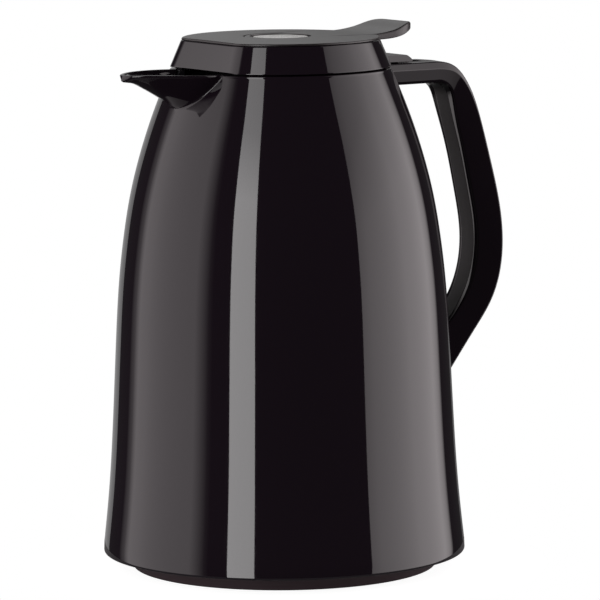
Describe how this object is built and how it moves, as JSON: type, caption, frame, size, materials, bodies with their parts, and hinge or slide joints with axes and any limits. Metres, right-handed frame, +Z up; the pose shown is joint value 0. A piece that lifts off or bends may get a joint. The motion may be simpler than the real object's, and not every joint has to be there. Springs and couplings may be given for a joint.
{
  "type": "thermal carafe",
  "caption": "Thermal carafe with a flared gloss body, triangular spout, side handle, hinged lid and a thumb lever that lifts the pouring valve.",
  "frame": {"origin": "on the body's axis, in the plane that the foot ring stands on", "axes": "+Z up along the body's axis, -X towards the spout, +X towards the handle; the XZ plane is the plane of symmetry"},
  "size_m": [0.1785, 0.1448, 0.216],
  "materials": {
    "gloss_shell": "high-gloss moulded, near-black brown",
    "lid_satin": "satin moulded, dark grey brown",
    "handle_inlay": "satin moulded inlay",
    "base_plastic": "fine-grained satin",
    "black_rubber": "matt rubber",
    "silvered_glass": "silvered vacuum glass",
    "spacer_fibre": "pressed fibre pad",
    "silicone": "translucent grey silicone",
    "collar_plastic": "satin food-grade plastic",
    "valve_plastic": "satin plastic",
    "steel": "drawn stainless steel",
    "badge_metal": "fine turned aluminium, bare"
  },
  "bodies": {
    "carafe": {"body_shell": "gloss_shell", "base_cap": "base_plastic", "base_seal": "black_rubber", "glass_flask": "silvered_glass", "flask_spacers": "spacer_fibre", "liner_cushion": "black_rubber", "neck_gasket": "silicone", "pouring_collar": "collar_plastic", "handle_shell": "gloss_shell", "handle_cover": "handle_inlay", "handle_screws": "steel", "hinge_pin": "steel"},
    "lid": {"lid_shell": "gloss_shell", "lid_top": "lid_satin", "lid_carrier": "collar_plastic", "lid_seal": "silicone", "hinge_leaf": "gloss_shell", "leaf_screws": "steel", "lever_pin": "steel"},
    "lever": {"lever": "lid_satin", "badge": "badge_metal"},
    "valve": {"valve_stem": "valve_plastic", "valve_seal": "silicone", "stem_pin": "steel", "valve_spring": "steel"}
  },
  "joints": [
    {"name": "lid_hinge", "type": "hinge", "parent": "carafe", "child": "lid", "pos_m": [0.063, 0, 0.1955], "axis": [0, 1, 0], "range_deg": [0, 70]},
    {"name": "lever_pivot", "type": "hinge", "parent": "lid", "child": "lever", "pos_m": [0.027, 0, 0.2065], "axis": [0, 1, 0], "range_deg": [0, 10], "stiffness_Nm_per_rad": 0.6, "springref_deg": -8.59},
    {"name": "valve_lift", "type": "slide", "parent": "lid", "child": "valve", "axis": [0, 0, 1], "range_m": [0, 0.0048], "deforming": ["valve_spring"]}
  ],
  "couplings": [
    {"joint": "valve_lift", "follows": "lever_pivot", "m_per_rad": 0.027}
  ]
}
